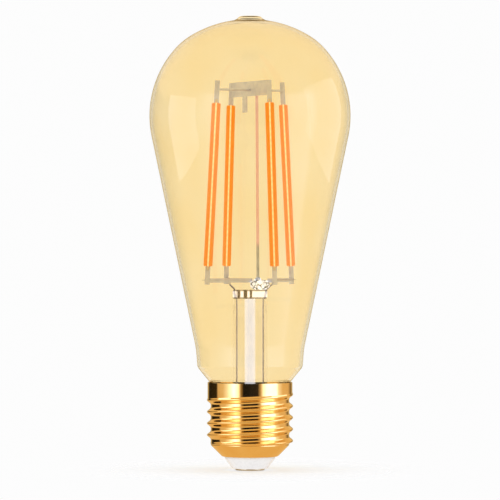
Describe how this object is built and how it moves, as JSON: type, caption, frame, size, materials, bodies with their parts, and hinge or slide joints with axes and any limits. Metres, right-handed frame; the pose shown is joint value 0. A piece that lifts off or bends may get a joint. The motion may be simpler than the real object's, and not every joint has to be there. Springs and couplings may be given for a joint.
{
  "type": "smart light bulb",
  "caption": "Teardrop amber-glass filament lamp with an Edison screw cap that holds a radio-controlled driver.",
  "frame": {"origin": "middle of the centre contact's lower face, at the bottom of the lamp", "axes": "+Z along the lamp's axis, from the centre contact to the tip of the glass; +X and +Y square to it, with the four filaments at 30, 120, 210 and 300 degrees from +X"},
  "size_m": [0.063, 0.063, 0.1423],
  "materials": {
    "amber_glass": "blown clear glass with a thin amber coat",
    "clear_glass": "clear drawn and pressed glass",
    "opal_glass": "bright drawn glass tube",
    "nickel_iron": "nickel-plated iron strip, dull",
    "lead_wire": "oxidised copper-sheathed nickel-iron wire",
    "ceramic_strip": "white alumina strip",
    "led_chips": "glowing light-emitting chips",
    "phosphor": "silicone filled with phosphor, glowing",
    "gilt_brass": "rolled brass sheet with a polished gold plating",
    "white_insulator": "moulded white plastic",
    "contact_metal": "tinned brass, lightly worn",
    "cement": "baked lamp cement",
    "red_wire": "silicone-insulated wire",
    "blue_wire": "silicone-insulated wire",
    "sleeve_film": "milky insulating sleeve",
    "board_green": "glass-epoxy board with green solder mask",
    "board_blue": "glass-epoxy board with dark blue solder mask",
    "black_epoxy": "moulded black epoxy",
    "resistor_chips": "glazed black chip resistors",
    "capacitor_chips": "fired tan ceramic",
    "green_lacquer": "flameproof green lacquer",
    "bare_aluminium": "drawn aluminium can",
    "capacitor_film": "shrunk dark blue film",
    "ferrite": "sintered ferrite",
    "copper_winding": "enamelled copper wire",
    "tinplate": "tinned steel",
    "gold_track": "gold-flashed copper track"
  },
  "bodies": {
    "root": {"glass_envelope": "amber_glass", "stem_flare": "clear_glass", "stem_press": "clear_glass", "exhaust_tube": "opal_glass", "stem_bead": "clear_glass", "support_wire": "lead_wire", "top_plate": "nickel_iron", "top_crossbar": "nickel_iron", "lower_arms_left": "nickel_iron", "lower_arms_right": "nickel_iron", "lead_in_wire_left": "lead_wire", "lead_in_wire_right": "lead_wire", "cap_shell": "gilt_brass", "cap_insulator": "white_insulator", "centre_contact": "contact_metal", "cap_cement": "cement", "live_wire": "red_wire", "neutral_wire": "blue_wire", "driver_sleeve": "sleeve_film", "driver_board": "board_green", "bridge_rectifier": "black_epoxy", "driver_chip": "black_epoxy", "chip_resistors": "resistor_chips", "ceramic_capacitors": "capacitor_chips", "fusible_resistor": "green_lacquer", "electrolytic_capacitor": "bare_aluminium", "capacitor_jacket": "capacitor_film", "inductor_core": "ferrite", "inductor_winding": "copper_winding", "radio_board": "board_blue", "radio_shield": "tinplate", "radio_chip": "black_epoxy", "radio_antenna": "gold_track", "radio_pins": "gold_track", "filament_1_strip": "ceramic_strip", "filament_1_chips": "led_chips", "filament_1_phosphor": "phosphor", "filament_1_terminals": "nickel_iron", "filament_2_strip": "ceramic_strip", "filament_2_chips": "led_chips", "filament_2_phosphor": "phosphor", "filament_2_terminals": "nickel_iron", "filament_3_strip": "ceramic_strip", "filament_3_chips": "led_chips", "filament_3_phosphor": "phosphor", "filament_3_terminals": "nickel_iron", "filament_4_strip": "ceramic_strip", "filament_4_chips": "led_chips", "filament_4_phosphor": "phosphor", "filament_4_terminals": "nickel_iron"}
  },
  "joints": []
}
